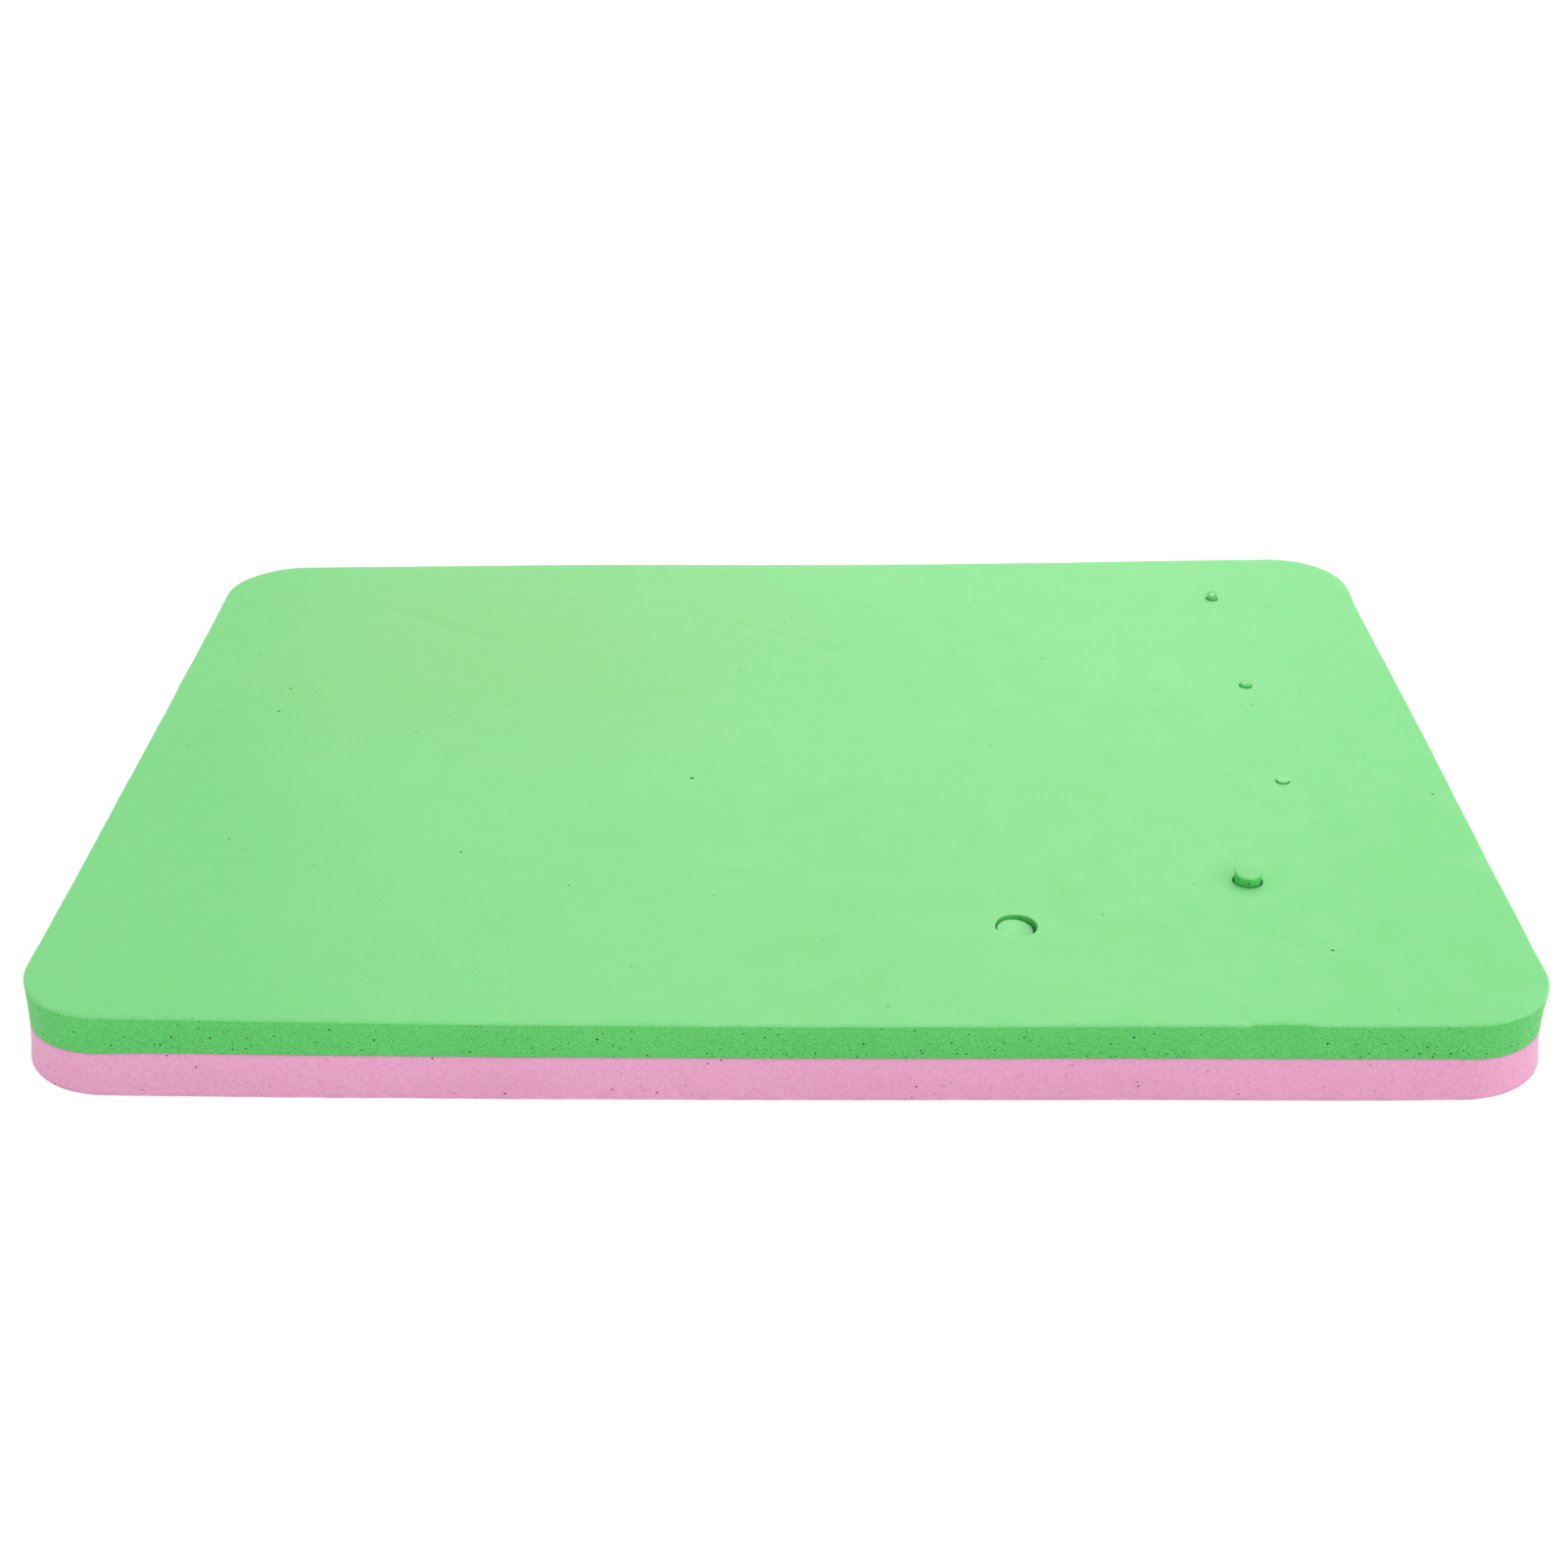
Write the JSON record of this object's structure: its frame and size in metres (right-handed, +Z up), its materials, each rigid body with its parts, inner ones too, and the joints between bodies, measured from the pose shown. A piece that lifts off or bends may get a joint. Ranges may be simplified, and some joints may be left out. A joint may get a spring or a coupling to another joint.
{
  "type": "laminated foam pad",
  "caption": "Two-colour laminated foam pad, rounded rectangle, with punched round plugs of graded size seated in their holes near one side.",
  "frame": {"origin": "centre of the underside of the pink sheet, where the pad rests", "axes": "+X along the long side towards the side with the row of small plugs, +Y along the short side away from the large plug, +Z up out of the green face"},
  "size_m": [0.2, 0.15, 0.0135],
  "materials": {
    "green_foam": "matte",
    "pink_foam": "matte"
  },
  "bodies": {
    "pad": {"pink_base_sheet": "pink_foam", "green_top_sheet": "green_foam"},
    "large_plug": {"large_plug_pink_layer": "pink_foam", "large_plug_green_layer": "green_foam"},
    "medium_plug": {"medium_plug_pink_layer": "pink_foam", "medium_plug_green_layer": "green_foam"},
    "small_front_plug": {"small_front_plug_pink_layer": "pink_foam", "small_front_plug_green_layer": "green_foam"},
    "small_middle_plug": {"small_middle_plug_pink_layer": "pink_foam", "small_middle_plug_green_layer": "green_foam"},
    "small_back_plug": {"small_back_plug_pink_layer": "pink_foam", "small_back_plug_green_layer": "green_foam"}
  },
  "joints": [
    {"name": "large_plug_slide", "type": "slide", "parent": "pad", "child": "large_plug", "axis": [0, 0, 1], "range_m": [0, 0.0146]},
    {"name": "medium_plug_slide", "type": "slide", "parent": "pad", "child": "medium_plug", "axis": [0, 0, 1], "range_m": [-0.0019, 0.0127]},
    {"name": "small_front_plug_slide", "type": "slide", "parent": "pad", "child": "small_front_plug", "axis": [0, 0, 1], "range_m": [-0.0004, 0.0142]},
    {"name": "small_middle_plug_slide", "type": "slide", "parent": "pad", "child": "small_middle_plug", "axis": [0, 0, 1], "range_m": [-0.0006, 0.014]},
    {"name": "small_back_plug_slide", "type": "slide", "parent": "pad", "child": "small_back_plug", "axis": [0, 0, 1], "range_m": [-0.0008, 0.0138]}
  ]
}
